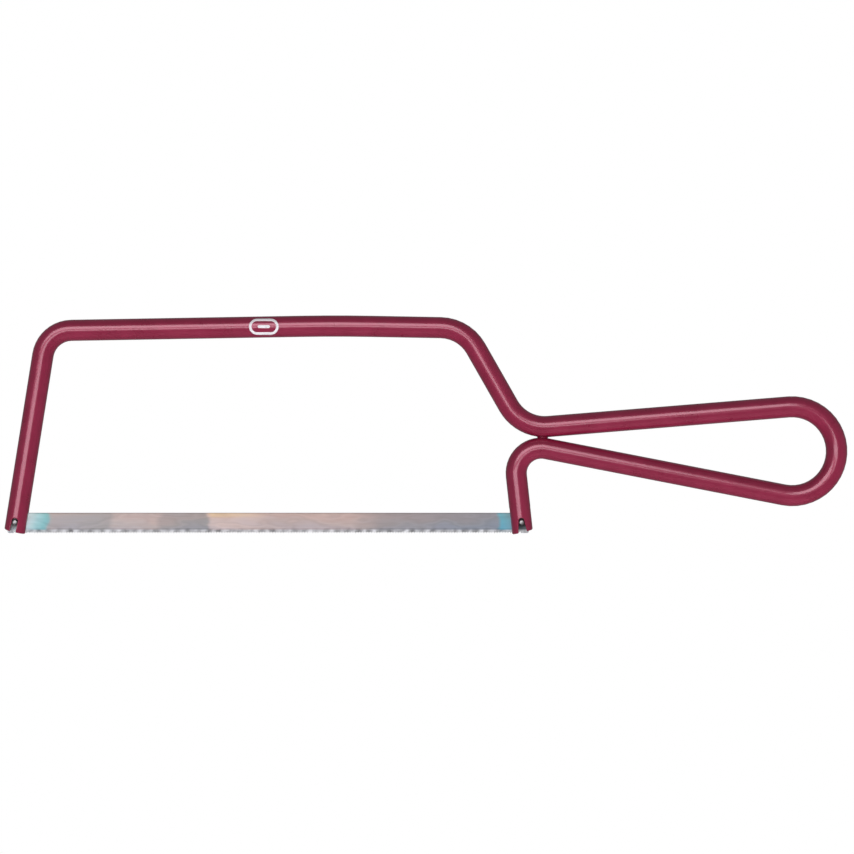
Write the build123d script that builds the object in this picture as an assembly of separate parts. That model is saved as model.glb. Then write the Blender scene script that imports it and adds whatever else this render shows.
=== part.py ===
"""Junior hacksaw: one bent spring rod that holds a thin pin-end blade in tension.

Millimetres. The saw lies flat on its side: X runs along the blade towards the handle, Y from the teeth
towards the spine, Z up. Everything is laid out from the front blade pin, in the middle plane of the saw,
and main() then moves the saw so that its origin is the middle of its underside.
"""

from build123d import *
from math import asin, cos, degrees, hypot, radians, sin, tan
import os

# Blade and its two pins
pin_pitch = 150.0
pin_dia = 1.6
pin_inset = 0.25  # ends of a pin below the rod's two sides
pin_edge = 0.15  # chamfer
blade_thickness = 0.65
blade_back = 2.8  # from the pins up to the plain edge
blade_depth = 3.2  # from the pins down to the tips of the teeth
blade_front_end = 2.6  # beyond the front pin
blade_rear_end = 2.2  # beyond the rear pin
blade_corner = 0.6
tooth_pitch = 25.4 / 32
tooth_depth = 0.45
plain_end = 1.6  # without teeth, at each end of the blade

# Rod, measured over its coat
rod_dia = 6.3
rod_edge = 0.3  # chamfer on the two cut ends
front_tip = 2.8  # rod beyond the front pin, along its middle
rear_tip = 2.9  # rod beyond the rear pin, along its middle
cut_slope = 14.0  # degrees that both cut ends rise, away from the blade

# Outline of the frame, to the middle of the rod
spine_height = 57.0  # above the pins, at the nose
spine_rise = 0.8  # from the nose to the shoulder
spine_bow = 0.7  # crown above a straight spine
nose_back = 16.5  # bend's centre behind the front pin
crown_ahead = 31.1  # bend's centre ahead of the shoulder's
shoulder_ahead = 24.2  # bend's centre ahead of the rear pin
neck_back = 6.9  # bend's centre behind the rear pin
neck_height = 40.8
handle_length = 73.5  # between the centres of the neck and the loop
loop_height = 21.1
rear_lean = 2.3  # degrees, rear bend ahead of straight below the neck
loop_gap = 0.1  # where the handle loop closes

# Bend radii, to the middle of the rod
nose_radius = 8.7
crown_radius = 600.0
shoulder_radius = 12.3
neck_radius = 12.4
loop_radius = 13.2
rear_radius = 7.4

# Slots in the two ends of the rod
blade_clearance = 0.12  # each side of the blade
blade_headroom = 0.58  # over the blade's front corner as it turns about its pin
pin_headroom = 0.6  # over the pins
pin_clearance = 0.04  # to the wall that takes the blade's pull
front_pin_play = 0.21  # to the opposite wall
rear_pin_play = 0.1
front_slot_lean = 12.0  # degrees, mouth forward
rear_slot_flare = 14.0  # degrees, outer wall only
bore_clearance = 0.02  # radial, for the front pin, which the blade turns on
slot_edge = 0.15  # radius, where the coat rounds every edge left by the saw cuts
slot_overrun = 3.0  # cutters past the rod's surface

# Taking the blade out
release_angle = 34.0  # degrees that the blade swings while its front pin is drawn
release_slide = 8.0  # that the front pin travels along its slot

front_pin_at = Vector(0, 0, 0)
rear_pin_at = Vector(pin_pitch, 0, 0)
pin_radius = pin_dia / 2
pin_length = rod_dia - 2 * pin_inset
pin_slot_roof = pin_radius + pin_headroom  # above the pins' centres
blade_slot_roof = hypot(blade_front_end, blade_back) + blade_headroom
cut_drop = rod_dia / 2 * tan(radians(cut_slope))  # of a cut end's low side below its middle
up = Vector(0, 0, 1)


def bends():
    """Centre and signed radius of each bend: a left turn is positive, and a pin is a bend of radius 0."""
    nose = front_pin_at + Vector(nose_back, spine_height - nose_radius)
    spine_end = spine_height + spine_rise
    shoulder = rear_pin_at + Vector(-shoulder_ahead, spine_end - shoulder_radius)
    slope = spine_rise / (shoulder.X - nose.X)
    crown_top = spine_end - slope * crown_ahead + spine_bow
    crown = Vector(shoulder.X - crown_ahead, crown_top - crown_radius)
    neck = rear_pin_at + Vector(neck_back, neck_height)
    loop = Vector(neck.X + handle_length, loop_height)
    below_neck = Vector(0, -1, 0).rotate(Axis.Z, -rear_lean)
    rear = neck + below_neck * (neck_radius + rod_dia + loop_gap + rear_radius)
    return [
        (front_pin_at, 0),
        (nose, -nose_radius),
        (crown, -crown_radius),
        (shoulder, -shoulder_radius),
        (neck, neck_radius),
        (loop, -loop_radius),
        (rear, rear_radius),
        (rear_pin_at, 0),
    ]


def run_between(bend, next_bend):
    """Ends of the straight run that leaves one bend and enters the next."""
    (centre, radius), (next_centre, next_radius) = bend, next_bend
    apart = next_centre - centre
    turn = degrees(asin((next_radius - radius) / apart.length))
    left = apart.normalized().rotate(Axis.Z, 90 - turn)
    return centre - left * radius, next_centre - left * next_radius


def straight_runs():
    """Straight runs of the rod in order. The first and last, the legs, end at the pins."""
    stops = bends()
    return [run_between(*pair) for pair in zip(stops, stops[1:])]


def centreline():
    """The rod's path before its ends are cut: straight runs joined by tangent arcs."""
    runs = straight_runs()
    headings = [(end - start).normalized() for start, end in runs]
    runs[0] = (runs[0][0] - headings[0] * (front_tip + cut_drop), runs[0][1])
    runs[-1] = (runs[-1][0], runs[-1][1] + headings[-1] * (rear_tip + cut_drop))
    edges = [Line(*runs[0])]
    for (_, radius), before, after, run in zip(bends()[1:], headings, headings[1:], runs[1:]):
        full_turn = 360 if radius > 0 else -360
        angle = before.get_signed_angle(after, up) % full_turn
        edges += [JernArc(edges[-1] @ 1, before, abs(radius), angle), Line(*run)]
    return Wire(edges)


def release_shift():
    """How far forward the rear pin has moved by the time it leaves its slot.

    It swings about the front pin, which is drawn down its own leaning slot in step with the swing.
    """
    slide_rate = release_slide / radians(release_angle)
    drop = rear_tip + cut_drop + pin_radius
    swing = drop / (pin_pitch + slide_rate * cos(radians(front_slot_lean)))
    slide = slide_rate * swing
    return pin_pitch * (1 - cos(swing)) + slide * sin(radians(front_slot_lean))


def blade_slot(pin_at, along_leg, tip):
    """Cutter for the slot that takes the blade, square to the leg it is sawn into."""
    seat = Plane(origin=pin_at, x_dir=along_leg, z_dir=up)
    mouth = tip + slot_overrun
    length = blade_slot_roof + mouth
    middle = (blade_slot_roof - mouth) / 2
    height = blade_thickness + 2 * blade_clearance
    return seat * Pos(middle, 0, 0) * Box(length, rod_dia + 2 * slot_overrun, height)


def pin_slot(front_wall, rear_wall, flare, tip):
    """Cutter for a slot across a leg, with a round roof. The walls are placed level with the pin.

    The roof's radius makes it tangent to both walls, of which the rear one opens out downwards.
    """
    slant = tan(radians(flare))
    stretch = 1 / cos(radians(flare))
    radius = (rear_wall - front_wall - pin_slot_roof * slant) / (1 + stretch - slant)
    mouth = tip + slot_overrun
    floor = Line((front_wall, -mouth), (rear_wall + mouth * slant, -mouth))
    roof = CenterArc((front_wall + radius, pin_slot_roof - radius), radius, 0, 360)
    return extrude(make_hull([floor, roof]), rod_dia, both=True)


def front_pin_slot():
    """Leaning slot: the blade pulls its pin against the rear wall."""
    slot = pin_slot(-pin_radius - front_pin_play, pin_radius + pin_clearance, 0, front_tip)
    return Pos(front_pin_at) * Rot(0, 0, -front_slot_lean) * slot


def rear_pin_slot():
    """Upright front wall, clear of the pin's path as it swings out, and a flared rear wall."""
    front_wall = -(pin_radius + pin_clearance + release_shift())
    return Pos(rear_pin_at) * pin_slot(front_wall, pin_radius + rear_pin_play, rear_slot_flare, rear_tip)


def end_waste(end, slope):
    """Cutter for everything below one end of the rod."""
    size = 2 * (rod_dia + slot_overrun)
    waste = Box(size, size, size, align=(Align.CENTER, Align.MAX, Align.CENTER))
    return Pos(end) * Rot(0, 0, slope) * waste


def round_cuts(rod, pin_at):
    """Rounds every edge near one end of the rod."""
    reach = blade_slot_roof + rod_dia / 2
    edges = [edge for edge in rod.edges() if (edge.center() - pin_at).length < reach]
    return fillet(edges, slot_edge)


def frame():
    """The bent rod with its two slotted ends."""
    path = centreline()
    front_leg = path % 0
    rear_leg = -(path % 1)
    rod = sweep(Plane(path @ 0, z_dir=front_leg) * Circle(rod_dia / 2), path=path)
    rod -= end_waste(front_pin_at - front_leg * front_tip, -cut_slope)
    rod -= end_waste(rear_pin_at - rear_leg * rear_tip, cut_slope)
    rod = chamfer(rod.faces().filter_by(GeomType.PLANE).edges(), rod_edge)
    rod -= blade_slot(front_pin_at, front_leg, front_tip)
    rod -= blade_slot(rear_pin_at, rear_leg, rear_tip)
    rod -= front_pin_slot() + rear_pin_slot()
    return round_cuts(round_cuts(rod, front_pin_at), rear_pin_at)


def blade_outline():
    """Blade seen from the side. The steep face of each tooth looks forward, away from the handle."""
    front = -blade_front_end
    rear = pin_pitch + blade_rear_end
    root = tooth_depth - blade_depth
    first = front + plain_end
    count = int((rear - plain_end - first) / tooth_pitch)
    points = [(rear, blade_back), (front, blade_back), (front, -blade_depth), (first, -blade_depth)]
    for tooth in range(1, count + 1):
        x = first + tooth * tooth_pitch
        points += [(x, root), (x, -blade_depth)]
    points.append((rear, -blade_depth))
    return make_face(Polyline(*points, close=True))


def blade_strip():
    """Toothed strip with a hole at each end: the front one runs on its pin, the rear one grips it."""
    strip = extrude(blade_outline(), blade_thickness / 2, both=True)
    ends = strip.edges().filter_by(Axis.Z).group_by(Axis.X)
    strip = fillet(ends[0] + ends[-1], blade_corner)
    strip -= Pos(front_pin_at) * Cylinder(pin_radius + bore_clearance, blade_thickness)
    return strip - Pos(rear_pin_at) * Cylinder(pin_radius, blade_thickness)


def pin(centre):
    """Round steel pin across the saw."""
    blank = Cylinder(pin_radius, pin_length)
    return Pos(centre) * chamfer(blank.edges().filter_by(GeomType.CIRCLE), pin_edge)


def pieces():
    """Every piece by name, laid out from the front pin."""
    return {
        "frame": frame(),
        "blade_strip": blade_strip(),
        "front_pin": pin(front_pin_at),
        "rear_pin": pin(rear_pin_at),
    }


def underside(made):
    """Middle of the saw's underside."""
    box = Compound(list(made.values())).bounding_box()
    return Vector(box.center().X, box.center().Y, box.min.Z)


def main():
    made = pieces()
    origin = underside(made)
    os.makedirs("parts", exist_ok=True)
    for name, piece in made.items():
        export_step(Pos(-origin) * piece, f"parts/{name}.step")


if __name__ == "__main__":
    main()
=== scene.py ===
"""Looks for the junior hacksaw: coat, detailed blade and pins, a printed mark, light and camera.

Everything is in metres, in the CAD frame: the saw lies flat, X along the blade towards the handle,
Y from the teeth towards the spine, Z up.
"""

import bmesh
import bpy
from math import cos, pi, radians, sin
from mathutils import Matrix, Vector
from mathutils.bvhtree import BVHTree


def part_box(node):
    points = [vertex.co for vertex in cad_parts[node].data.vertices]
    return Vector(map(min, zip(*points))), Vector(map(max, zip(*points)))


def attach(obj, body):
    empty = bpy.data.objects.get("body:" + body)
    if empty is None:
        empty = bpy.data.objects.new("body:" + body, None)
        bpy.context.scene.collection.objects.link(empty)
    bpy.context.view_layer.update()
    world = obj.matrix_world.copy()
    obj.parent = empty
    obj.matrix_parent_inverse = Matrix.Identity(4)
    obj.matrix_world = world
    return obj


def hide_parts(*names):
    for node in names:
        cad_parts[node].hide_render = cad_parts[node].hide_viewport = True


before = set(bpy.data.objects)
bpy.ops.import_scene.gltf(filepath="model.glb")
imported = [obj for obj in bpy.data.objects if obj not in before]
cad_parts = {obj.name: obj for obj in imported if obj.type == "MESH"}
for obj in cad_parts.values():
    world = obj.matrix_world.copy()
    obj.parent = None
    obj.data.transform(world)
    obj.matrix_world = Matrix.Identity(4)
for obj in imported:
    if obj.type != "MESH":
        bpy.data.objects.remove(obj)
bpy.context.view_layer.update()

MM = 0.001

# Blade
teeth_per_inch = 32
tooth_pitch = 0.0254 / teeth_per_inch
tooth_depth = 0.45 * MM
plain_end = 1.6 * MM  # without teeth, at each end
blade_corner = 0.6 * MM  # radius of the four corners
corner_steps = 6
back_edge = 0.08 * MM  # rounding of the plain edge
set_reach = 1.4 * MM  # height of the band that the wavy set bends
set_swing = 0.16 * MM  # sideways, at the tips
set_wave = 4 * tooth_pitch  # length of one wave
slow_share = 0.3  # of the set, bent by a slower wave, so that the waves differ
slow_rate = 0.37  # waves of it for each wave of the set
slow_start = 1.0  # its phase, in radians
set_start = 4.0 * MM  # from a pin to where the set begins
set_full = 8.0 * MM  # from a pin to the full set

# One tooth: share of the pitch past a tip, and share of the depth above it
tooth_shape = [
    (0.0, 0.0),
    (0.07, 0.03),
    (0.36, 0.45),
    (0.64, 0.86),
    (0.78, 1.0),
    (0.90, 0.95),
    (0.975, 0.62),
]
# Rows across the blade, as shares of the way from the plain edge to the toothed one
blade_rows = [0.0, 0.015, 0.2, 0.5, 0.74, 0.8, 0.85, 0.89, 0.925, 0.965, 1.0]

# Pins and their holes
pin_edge = 0.15 * MM  # chamfer round each end
pin_edge_blend = (0.05 * MM, 0.08 * MM)  # width and height that soften the chamfer's outer corner
pin_crown = 0.08 * MM  # height of the dome on each end
pin_band = 0.35 * MM  # half the length of the band that sits in the blade
pin_bore_play = 0.02 * MM  # radial, at the front pin, which the blade turns on
dome_rings = 4
round_steps = 48  # sides of a turned pin or a drilled hole
drill_depth = 6 * MM

# Printed mark on the spine
mark_along = 73.7 * MM  # from the front pin
mark_length = 8.8 * MM  # of the oval
mark_height = 4.8 * MM
mark_line = 0.75 * MM  # width of the oval's line
mark_dash = (3.6 * MM, 0.9 * MM)  # length and height of the dash inside it
mark_lift = 0.03 * MM  # ink above the coat, and as far into it
mark_steps = 12  # along each side and round each end of the oval
mark_rings = 4  # across its line
middle_step = 0.02 * MM  # of the search for the spine's middle
above_all = 1.0  # height that the rays start from

# Coat that joins the two bends where the handle loop closes
touch_from_rear_pin = (6.9 * MM, 40.8 * MM)  # to the centre of the upper bend
touch_reach = 15.6 * MM  # from that centre to the middle of the joint
touch_lean = radians(2.3)
web_size = (1.7 * MM, 0.32 * MM, 1.2 * MM)  # half its length, width and height
web_segments = (32, 16)

# Meshes: angle from which an edge stays sharp, and distance within which points become one
sharp_edge = radians(35)
pin_sharp_edge = radians(50)
weld = 1e-7

# Camera
view_centre = (0.28 * MM, -0.64 * MM)
view_width = 253.6 * MM  # seen at the middle height of the rod
camera_lens = 100.0  # in millimetres, like the sensor's width
camera_sensor = 36.0
camera_clip = (0.01, 20.0)

# Studio
down = (0, 0, -1)
lamp_colour = (0.985, 0.985, 1.04)
fill_size = (1.6, 1.6)
sky_colour = (0.15, 0.15, 0.16, 1)
floor_reach = 8.0  # half the floor's width
wall_radius = 0.95 * floor_reach
wall_height = 6.0
wall_sides = 64

# Materials: range of nearly all values of a noise, the colour sockets of a Mix node, and the painted
# shade round the pins
noise_low, noise_high = 0.3, 0.7
first_colour, second_colour, mixed_colour = 6, 7, 2
pin_shade_reach = 4 * MM  # reach of the painted shade on the blade, from a pin's centre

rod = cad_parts["frame"]
spine_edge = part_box("frame")[1].y
front_low, front_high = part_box("front_pin")
rear_low, rear_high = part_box("rear_pin")
front_pin = (front_low + front_high) / 2
rear_pin = (rear_low + rear_high) / 2
pin_radius = (front_high.x - front_low.x) / 2
blade_low, blade_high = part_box("blade_strip")
mid_height = front_pin.z


# --- Node helpers ---------------------------------------------------------------------------------


def new_material(name):
    """A material with only its Principled shader and output; returns it and its node tree."""
    material = bpy.data.materials.new(name)
    material.use_nodes = True
    return material, material.node_tree


def fill(tree, made, inputs):
    """Sets a node's inputs to values, or links them to other nodes' outputs."""
    for key, value in inputs.items():
        if isinstance(value, bpy.types.NodeSocket):
            tree.links.new(value, made.inputs[key])
        else:
            made.inputs[key].default_value = value


def finish_material(material, inputs):
    """Fills the inputs of the material's shader, and returns the material."""
    tree = material.node_tree
    fill(tree, tree.nodes["Principled BSDF"], inputs)
    return material


def node(tree, kind, inputs, **settings):
    """A node of the given kind, with its settings and the values or links of its inputs."""
    made = tree.nodes.new(kind)
    for key, value in settings.items():
        setattr(made, key, value)
    fill(tree, made, inputs)
    return made


def object_place(tree):
    """Coordinates in the object's own frame, in metres."""
    return node(tree, "ShaderNodeTexCoord", {}).outputs["Object"]


def ramp(tree, factor, stops):
    """Colour by position: stops are (position, (r, g, b)) or (position, grey)."""
    made = node(tree, "ShaderNodeValToRGB", {"Fac": factor})
    elements = made.color_ramp.elements
    while len(elements) < len(stops):
        elements.new(0.5)
    for element, (position, colour) in zip(elements, stops):
        element.position = position
        rgb = colour if isinstance(colour, tuple) else (colour,) * 3
        element.color = (*rgb, 1)
    return made.outputs["Color"]


def share(tree, value, low, high, to_low=0.0, to_high=1.0):
    """The value, mapped from low..high to to_low..to_high."""
    inputs = {"Value": value, "From Min": low, "From Max": high, "To Min": to_low, "To Max": to_high}
    return node(tree, "ShaderNodeMapRange", inputs).outputs["Result"]


def spread(tree, value, to_low, to_high):
    """A noise, mapped to to_low..to_high."""
    return share(tree, value, noise_low, noise_high, to_low, to_high)


def noise(tree, coordinates, scale=1.0, detail=3.0, roughness=0.5, stretch=None):
    """Noise between 0 and 1. The scale, times the stretch of each axis, is in features per metre."""
    if stretch:
        inputs = {"Vector": coordinates, "Scale": stretch}
        coordinates = node(tree, "ShaderNodeMapping", inputs).outputs["Vector"]
    inputs = {"Vector": coordinates, "Scale": scale, "Detail": detail, "Roughness": roughness}
    return node(tree, "ShaderNodeTexNoise", inputs).outputs["Fac"]


def multiply(tree, colour, other):
    """Two colours multiplied."""
    return mix(tree, 1.0, colour, other, "MULTIPLY")


def mix(tree, factor, colour, other, way="MIX"):
    """Colour that turns into another where the factor is 1."""
    inputs = {"Factor": factor, first_colour: colour, second_colour: other}
    made = node(tree, "ShaderNodeMix", inputs, data_type="RGBA", blend_type=way)
    return made.outputs[mixed_colour]


def add(tree, first, second):
    """Sum of two values."""
    return node(tree, "ShaderNodeMath", {0: first, 1: second}, operation="ADD").outputs[0]


def bump(tree, height, depth, normal=None):
    """Bump normal from a height between 0 and 1, which is worth the depth in metres."""
    inputs = {"Height": height, "Distance": depth}
    if normal:
        inputs["Normal"] = normal
    return node(tree, "ShaderNodeBump", inputs).outputs["Normal"]


# --- Materials ------------------------------------------------------------------------------------


def coat_material():
    """Glossy dip coat over the rod: deep wine red with faint mottling, orange peel and pin pricks."""
    material, tree = new_material("glossy_coat")
    where = object_place(tree)
    mottle = noise(tree, where, scale=160, detail=4.0)
    tone = ramp(tree, mottle, [(0.3, (0.285, 0.013, 0.050)), (0.7, (0.335, 0.017, 0.062))])
    grain = noise(tree, where, scale=1900, detail=2.0)
    speck = ramp(tree, grain, [(0.25, 0.86), (0.45, 1.0)])
    pores = noise(tree, where, scale=2600, detail=1.0)
    pits = ramp(tree, pores, [(0.2, 0.0), (0.32, 1.0)])
    peel = bump(tree, noise(tree, where, scale=520, detail=2.0), depth=0.012 * MM)
    inputs = {
        "Base Color": multiply(tree, tone, speck),
        "Metallic": 0.25,
        "Roughness": spread(tree, mottle, 0.26, 0.34),
        "Coat Weight": 1.0,
        "Coat Roughness": 0.14,
        "Coat IOR": 1.5,
        "Normal": bump(tree, pits, depth=0.004 * MM, normal=peel),
        "Coat Normal": peel,
    }
    return finish_material(material, inputs)


def temper_tint_and_slot_shade(tree, along):
    """Base colour of the blade along its length, from its front end: temper tints, and painted shade at
    the rear end.
    """
    stops = [
        (0.035, (0.48, 0.54, 0.54)),  # pale steel
        (0.048, (0.42, 0.56, 0.57)),
        (0.058, (0.31, 0.52, 0.53)),
        (0.073, (0.19, 0.41, 0.41)),  # teal
        (0.079, (0.38, 0.33, 0.31)),  # brown grey
        (0.195, (0.33, 0.31, 0.30)),
        (0.205, (0.43, 0.37, 0.35)),  # rose grey
        (0.290, (0.42, 0.36, 0.34)),
        (0.300, (0.33, 0.30, 0.29)),  # brown grey
        (0.382, (0.31, 0.29, 0.28)),
        (0.388, (0.54, 0.43, 0.39)),  # straw, fading to rose grey
        (0.465, (0.52, 0.41, 0.37)),
        (0.500, (0.46, 0.37, 0.34)),
        (0.660, (0.46, 0.37, 0.34)),
        (0.720, (0.32, 0.29, 0.285)),  # grey, slowly turning bluish
        (0.938, (0.265, 0.28, 0.305)),
        (0.945, (0.15, 0.40, 0.47)),  # blue
        (0.962, (0.18, 0.34, 0.38)),
        (0.980, (0.14, 0.155, 0.15)),  # painted shade on the rear end, inside the rear slot
    ]
    return ramp(tree, along, stops)


def painted_pin_shade(tree, where, pin_at):
    """Painted shade: darkening of the blade close round a pin, where the rod's slot shades it."""
    flat = node(tree, "ShaderNodeVectorMath", {0: where, 1: (1, 1, 0)}, operation="MULTIPLY")
    inputs = {0: flat.outputs["Vector"], 1: (pin_at.x, pin_at.y, 0)}
    distance = node(tree, "ShaderNodeVectorMath", inputs, operation="DISTANCE").outputs["Value"]
    return ramp(tree, share(tree, distance, 0.0, pin_shade_reach), [(0.25, 0.22), (0.60, 1.0)])


def blade_material():
    """Ground spring steel: temper tints in drifting bands, smoky contours, grinding lines, bare teeth,
    and painted shade round the pins.
    """
    material, tree = new_material("tempered_blade")
    where = object_place(tree)
    place = node(tree, "ShaderNodeSeparateXYZ", {"Vector": where}).outputs
    clouds = noise(tree, where, detail=2.0, roughness=0.45, stretch=(70, 240, 240))
    drift = spread(tree, clouds, -0.007, 0.007)
    along = add(tree, share(tree, place["X"], blade_low.x, blade_high.x), drift)
    across = share(tree, place["Y"], blade_low.y, blade_high.y)
    wander = add(tree, across, spread(tree, clouds, -0.35, 0.35))
    warmth = ramp(tree, wander, [(0.15, (0.93, 0.98, 1.06)), (0.5, 1.0), (0.85, (1.07, 0.98, 0.94))])
    straw_reach = ramp(tree, along, [(0.385, 0.0), (0.392, 1.0), (0.42, 0.8), (0.50, 0.0)])
    straw_edge = ramp(tree, add(tree, across, drift), [(0.72, 0.0), (0.86, 1.0)])
    blotches = ramp(tree, noise(tree, where, scale=480, roughness=0.6), [(0.35, 0.25), (0.62, 0.60)])
    bare = ramp(tree, across, [(0.155, 0.85), (0.19, 0.0)])
    edges = ramp(tree, across, [(0.17, 1.0), (0.20, 0.80), (0.25, 1.0), (0.93, 1.0), (0.99, 0.80)])
    smoke = ramp(tree, clouds, [(0.40, 1.0), (0.47, 0.91), (0.52, 1.02), (0.59, 0.93), (0.66, 1.0)])
    lines = noise(tree, where, roughness=0.6, stretch=(120, 9000, 600))
    rubbed = ramp(tree, lines, [(0.3, 0.9), (0.7, 1.06)])
    # temper tints along the blade, with painted shade at its rear end
    colour = multiply(tree, temper_tint_and_slot_shade(tree, along), warmth)
    colour = mix(tree, multiply(tree, straw_reach, straw_edge), colour, (0.62, 0.45, 0.29, 1))
    colour = mix(tree, bare, colour, blotches)
    # the last two layers are painted shade on the blade round the pins
    for layer in (edges, smoke, rubbed, painted_pin_shade(tree, where, front_pin), painted_pin_shade(tree, where, rear_pin)):
        colour = multiply(tree, colour, layer)
    inputs = {
        "Base Color": colour,
        "Metallic": 0.75,
        "Roughness": spread(tree, lines, 0.34, 0.48),
        "Normal": bump(tree, lines, depth=0.0035 * MM),
    }
    return finish_material(material, inputs)


def pin_material():
    """Bright drawn steel, finely scuffed."""
    material, tree = new_material("bright_pin")
    scuffs = noise(tree, object_place(tree), scale=2500)
    inputs = {
        "Base Color": ramp(tree, scuffs, [(0.3, (0.26, 0.26, 0.25)), (0.6, (0.42, 0.41, 0.40))]),
        "Metallic": 1.0,
        "Roughness": spread(tree, scuffs, 0.30, 0.45),
        "Normal": bump(tree, scuffs, depth=0.004 * MM),
    }
    return finish_material(material, inputs)


def ink_material():
    """White printed ink, slightly worn."""
    material, tree = new_material("white_ink")
    worn = noise(tree, object_place(tree), scale=1500, detail=4.0, roughness=0.6)
    inputs = {
        "Base Color": ramp(tree, worn, [(0.25, (0.62, 0.52, 0.55)), (0.42, (0.88, 0.84, 0.84))]),
        "Roughness": spread(tree, worn, 0.36, 0.5),
        "Coat Weight": 0.4,
        "Coat Roughness": 0.2,
        "Normal": bump(tree, worn, depth=0.004 * MM),
    }
    return finish_material(material, inputs)


def floor_material():
    """Pale floor: it glows plain white, and the lamps don't brighten it past that."""
    material, _ = new_material("pale_floor")
    inputs = {
        "Base Color": (0, 0, 0, 1),
        "Roughness": 0.9,
        "Specular IOR Level": 0.0,
        "Emission Color": (1, 1, 1, 1),
        "Emission Strength": 1.0,
    }
    return finish_material(material, inputs)


# --- Meshes ---------------------------------------------------------------------------------------


def new_object(name, bm, material, sharp_angle=sharp_edge):
    """An object from a bmesh, smooth except at edges over the sharp angle."""
    bmesh.ops.recalc_face_normals(bm, faces=bm.faces)
    mesh = bpy.data.meshes.new(name)
    bm.to_mesh(mesh)
    bm.free()
    mesh.shade_smooth()
    mesh.set_sharp_from_angle(angle=sharp_angle)
    mesh.materials.append(material)
    made = bpy.data.objects.new(name, mesh)
    bpy.context.scene.collection.objects.link(made)
    return made


def end_columns():
    """Columns over an end's rounded corners: (distance from the end, gap at either long edge)."""
    turns = [radians(90 * step / corner_steps) for step in range(corner_steps + 1)]
    return [(blade_corner * (1 - cos(turn)), blade_corner * (1 - sin(turn))) for turn in turns]


def blade_columns():
    """Where the blade is divided along its length: (x, y of the toothed edge, y of the plain edge)."""
    low, high = blade_low.y, blade_high.y
    first = blade_low.x + plain_end
    count = int((blade_high.x - plain_end - first) / tooth_pitch)
    corner = end_columns()
    columns = [(blade_low.x + x, low + gap, high - gap) for x, gap in corner]
    for tooth in range(count):
        for along, above in tooth_shape:
            x = first + (tooth + along) * tooth_pitch
            columns.append((x, low + above * tooth_depth, high))
    columns.append((first + count * tooth_pitch, low, high))
    columns += [(blade_high.x - x, low + gap, high - gap) for x, gap in reversed(corner)]
    return columns


def smooth(value):
    """Smooth step from 0 to 1."""
    value = min(1.0, max(0.0, value))
    return value * value * (3 - 2 * value)


def set_shift(x, y):
    """How far the wavy set bends the blade sideways. It fades towards the pins."""
    from_pin = min(x - front_pin.x, rear_pin.x - x)
    fade = smooth((from_pin - set_start) / (set_full - set_start))
    bend = smooth((blade_low.y + set_reach - y) / set_reach)
    turn = 2 * pi * x / set_wave
    wave = (1 - slow_share) * sin(turn) + slow_share * sin(slow_rate * turn + slow_start)
    return set_swing * fade * bend * wave


def blade_side(bm, half):
    """Rows of vertices over one face of the blade, at that half thickness."""
    rounded = back_edge if half > 0 else -back_edge
    grid = []
    for x, low, high in blade_columns():
        column = []
        for row, across in enumerate(blade_rows):
            y = high + (low - high) * across
            z = mid_height + set_shift(x, y) + half - (rounded if row == 0 else 0)
            column.append(bm.verts.new((x, y, z)))
        grid.append(column)
    return grid


def blade_mesh():
    """The toothed strip, before its pin holes."""
    bm = bmesh.new()
    half = (blade_high.z - blade_low.z) / 2
    upper, lower = blade_side(bm, half), blade_side(bm, -half)
    for side in (upper, lower):
        for left, right in zip(side, side[1:]):
            quads(bm, left, right)
    for edge in (0, -1):
        quads(bm, [column[edge] for column in upper], [column[edge] for column in lower])
    for end in (0, -1):
        quads(bm, upper[end], lower[end])
    return bm


def quads(bm, left, right):
    """Faces between two lines of vertices."""
    for i in range(len(left) - 1):
        bm.faces.new((left[i], left[i + 1], right[i + 1], right[i]))


def blade(material):
    """The blade piece with a hole for each pin."""
    made = new_object("blade_teeth_and_back", blade_mesh(), material)
    for pin_at, radius in ((front_pin, pin_radius + pin_bore_play), (rear_pin, pin_radius)):
        drill(made, pin_at, radius)
    return made


def drill(made, centre, radius):
    """Cuts a round hole through a piece along Z."""
    bm = bmesh.new()
    sides = {"radius1": radius, "radius2": radius, "depth": drill_depth}
    bmesh.ops.create_cone(bm, cap_ends=True, segments=round_steps, **sides)
    bmesh.ops.translate(bm, verts=bm.verts, vec=centre)
    cutter = new_object("hole_cutter", bm, made.data.materials[0])
    modifier = made.modifiers.new("hole", "BOOLEAN")
    modifier.object = cutter
    modifier.operation = "DIFFERENCE"
    modifier.solver = "EXACT"
    evaluated = made.evaluated_get(bpy.context.evaluated_depsgraph_get())
    drilled = bpy.data.meshes.new_from_object(evaluated)
    made.modifiers.remove(modifier)
    made.data = drilled
    made.data.set_sharp_from_angle(angle=sharp_edge)
    bpy.data.objects.remove(cutter)


def pin(name, centre, material):
    """A round pin with chamfered, slightly domed ends, turned about Z."""
    half = (front_high.z - front_low.z) / 2
    flat = pin_radius - pin_edge
    blend_width, blend_height = pin_edge_blend
    outward = [ring / dome_rings for ring in range(dome_rings + 1)]
    profile = [(flat * out, half - pin_crown * out**2) for out in outward]
    profile.append((pin_radius - blend_width, half - pin_edge))
    profile.append((pin_radius, half - pin_edge - blend_height))
    profile.append((pin_radius, pin_band))
    profile += [(radius, -height) for radius, height in reversed(profile)]
    bm = bmesh.new()
    verts = [bm.verts.new((radius, 0, height)) for radius, height in profile]
    edges = [bm.edges.new(pair) for pair in zip(verts, verts[1:])]
    turn = {"axis": (0, 0, 1), "cent": (0, 0, 0), "angle": 2 * pi, "steps": round_steps}
    bmesh.ops.spin(bm, geom=verts + edges, use_merge=True, **turn)
    bmesh.ops.remove_doubles(bm, verts=bm.verts, dist=weld)
    bmesh.ops.translate(bm, verts=bm.verts, vec=centre)
    return new_object(name, bm, material, pin_sharp_edge)


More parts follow.
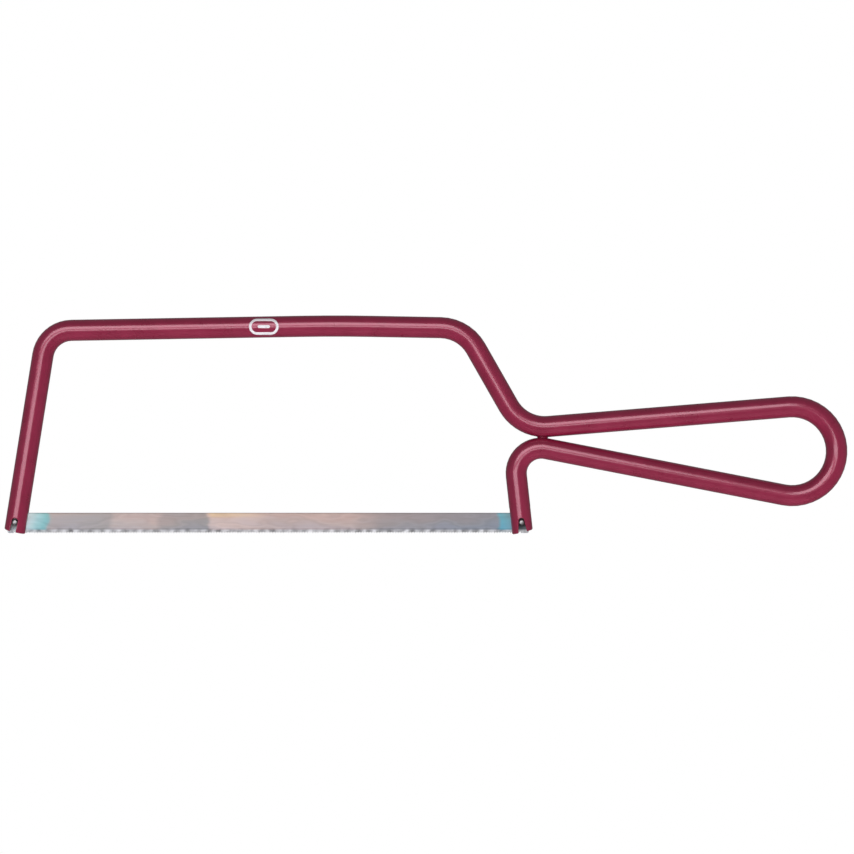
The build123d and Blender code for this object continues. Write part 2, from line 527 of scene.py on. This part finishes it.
def oval_rows(length, height, line):
    """Points of an oval line with round ends: rows from its inside to its outside, each once round."""
    straight = (length - height) / 2
    steps = [i / mark_steps for i in range(mark_steps + 1)]
    path = [(straight * (2 * step - 1), pi / 2) for step in steps]
    path += [(straight, pi / 2 - pi * step) for step in steps[1:]]
    path += [(straight * (1 - 2 * step), -pi / 2) for step in steps[1:]]
    path += [(-straight, -pi / 2 - pi * step) for step in steps[1:]]
    radii = [height / 2 - line * (1 - i / mark_rings) for i in range(mark_rings + 1)]
    return [[(x + r * cos(turn), r * sin(turn)) for x, turn in path] for r in radii]


def look_down(tree, x, y):
    """Place and normal of the rod's upper side over (x, y), or None twice beside the rod."""
    return tree.ray_cast(Vector((x, y, above_all)), Vector(down))[:2]


def mark_point(tree, x, y):
    """The point of the ink's surface over (x, y)."""
    place, normal = look_down(tree, x, y)
    return place + normal * mark_lift


def spine_middle(tree, x):
    """Y of the rod's middle where the spine crosses X: halfway between its two silhouettes."""
    first = spine_edge
    while look_down(tree, x, first)[0] is None:
        first -= middle_step
    last = first
    while look_down(tree, x, last - middle_step)[0] is not None:
        last -= middle_step
    return (first + last) / 2


def sheet(bm, rows):
    """Adds a grid of quads through the points."""
    grid = [[bm.verts.new(point) for point in row] for row in rows]
    for left, right in zip(grid, grid[1:]):
        for i in range(len(left) - 1):
            bm.faces.new((left[i], right[i], right[i + 1], left[i + 1]))


def mark(material):
    """Plain mark printed on the spine: an oval line round a dash, wrapped on the rod."""
    verts = [vertex.co for vertex in rod.data.vertices]
    tree = BVHTree.FromPolygons(verts, [tuple(face.vertices) for face in rod.data.polygons])
    at_x = front_pin.x + mark_along
    at_y = spine_middle(tree, at_x)
    dash_length, dash_height = mark_dash
    oval = oval_rows(mark_length, mark_height, mark_line)
    dash = oval_rows(dash_length, dash_height, dash_height / 2)
    bm = bmesh.new()
    for rows in (oval, dash):
        sheet(bm, [[mark_point(tree, at_x + x, at_y + y) for x, y in row] for row in rows])
    bmesh.ops.remove_doubles(bm, verts=bm.verts, dist=weld)
    made = new_object("printed_mark", bm, material)
    solid = made.modifiers.new("ink thickness", "SOLIDIFY")
    solid.thickness = 2 * mark_lift
    solid.offset = -1
    return made


def coat_web(material):
    """Lens of coat where the two bends touch."""
    bm = bmesh.new()
    round_segments, height_segments = web_segments
    bmesh.ops.create_uvsphere(bm, u_segments=round_segments, v_segments=height_segments, radius=1.0)
    bmesh.ops.scale(bm, verts=bm.verts, vec=web_size)
    bmesh.ops.rotate(bm, verts=bm.verts, cent=(0, 0, 0), matrix=Matrix.Rotation(-touch_lean, 3, "Z"))
    across = Vector((sin(-touch_lean), -cos(touch_lean), 0)) * touch_reach
    centre = rear_pin + Vector((*touch_from_rear_pin, 0)) + across
    bmesh.ops.translate(bm, verts=bm.verts, vec=centre)
    return new_object("coat_web", bm, material)


# --- Studio ---------------------------------------------------------------------------------------


def floor(material):
    """A wide square floor under the saw."""
    bm = bmesh.new()
    bmesh.ops.create_grid(bm, x_segments=1, y_segments=1, size=floor_reach)
    stage(new_object("floor", bm, material))


def backdrop(material):
    """A round wall on the floor, so that low views end in the same white."""
    bm = bmesh.new()
    sides = {"radius1": wall_radius, "radius2": wall_radius, "depth": wall_height}
    bmesh.ops.create_cone(bm, cap_ends=False, segments=wall_sides, **sides)
    bmesh.ops.translate(bm, verts=bm.verts, vec=(0, 0, wall_height / 2))
    made = new_object("backdrop", bm, material)
    made.visible_shadow = False
    stage(made)


def stage(made):
    """Marks a piece of the studio, which neither lights the saw nor is reflected in it."""
    made.visible_glossy = False
    made.visible_diffuse = False


def panel(name, centre, faces, size, radiance, glossy):
    """A rectangular area light. Radiance 1 shows as plain white. Glossy says if it is reflected."""
    light = bpy.data.lights.new(name, "AREA")
    light.shape = "RECTANGLE"
    light.size, light.size_y = size
    light.energy = radiance * pi * light.size * light.size_y
    light.color = lamp_colour
    made = bpy.data.objects.new(name, light)
    made.location = centre
    made.rotation_mode = "QUATERNION"
    made.rotation_quaternion = Vector(faces).to_track_quat("-Z", "Y")
    made.visible_camera = False
    made.visible_glossy = glossy
    bpy.context.scene.collection.objects.link(made)


def studio():
    """Two wide panels overhead, which the coat reflects, and fills that leave no reflection."""
    for name, centre, size, radiance in (
        ("overhead_back", (-0.45, 0.94, 2.0), (1.90, 1.12), 3.2),
        ("overhead_left", (-0.58, -0.08, 2.0), (1.64, 0.38), 3.3),
    ):
        panel(name, centre, down, size, radiance, glossy=True)
    for name, centre, faces, radiance in (
        ("fill_front", (0.3, -1.5, 0.8), (-0.20, 1.0, -0.55), 2.9),
        ("fill_right", (1.7, 0.0, 0.6), (-1.0, 0.0, -0.35), 1.0),
        ("fill_left", (-1.7, 0.0, 0.6), (1.0, 0.0, -0.35), 0.6),
    ):
        panel(name, centre, faces, fill_size, radiance, glossy=False)
    world = bpy.data.worlds.new("studio")
    world.use_nodes = True
    world.node_tree.nodes["Background"].inputs["Color"].default_value = sky_colour
    bpy.context.scene.world = world


def camera():
    """Straight down on the saw, as in the photograph."""
    data = bpy.data.cameras.new("camera")
    data.lens = camera_lens
    data.sensor_width = camera_sensor
    data.clip_start, data.clip_end = camera_clip
    distance = view_width * camera_lens / camera_sensor
    made = bpy.data.objects.new("camera", data)
    made.location = (*view_centre, mid_height + distance)
    bpy.context.scene.collection.objects.link(made)
    bpy.context.scene.camera = made


# --- The saw --------------------------------------------------------------------------------------


def dress():
    """Gives every piece its look and its body."""
    coat = coat_material()
    rod.data.materials.clear()
    rod.data.materials.append(coat)
    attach(coat_web(coat), "frame")
    steel = pin_material()
    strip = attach(blade(blade_material()), "blade")
    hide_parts("blade_strip")
    for name, node_name, centre, body in (
        ("front_pin_turned", "front_pin", front_pin, "front_pin"),
        ("rear_pin_turned", "rear_pin", rear_pin, "blade"),
    ):
        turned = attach(pin(name, centre, steel), body)
        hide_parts(node_name)
    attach(mark(ink_material()), "frame")


dress()
pale = floor_material()
floor(pale)
backdrop(pale)
studio()
camera()
bpy.context.scene.view_settings.view_transform = "Standard"
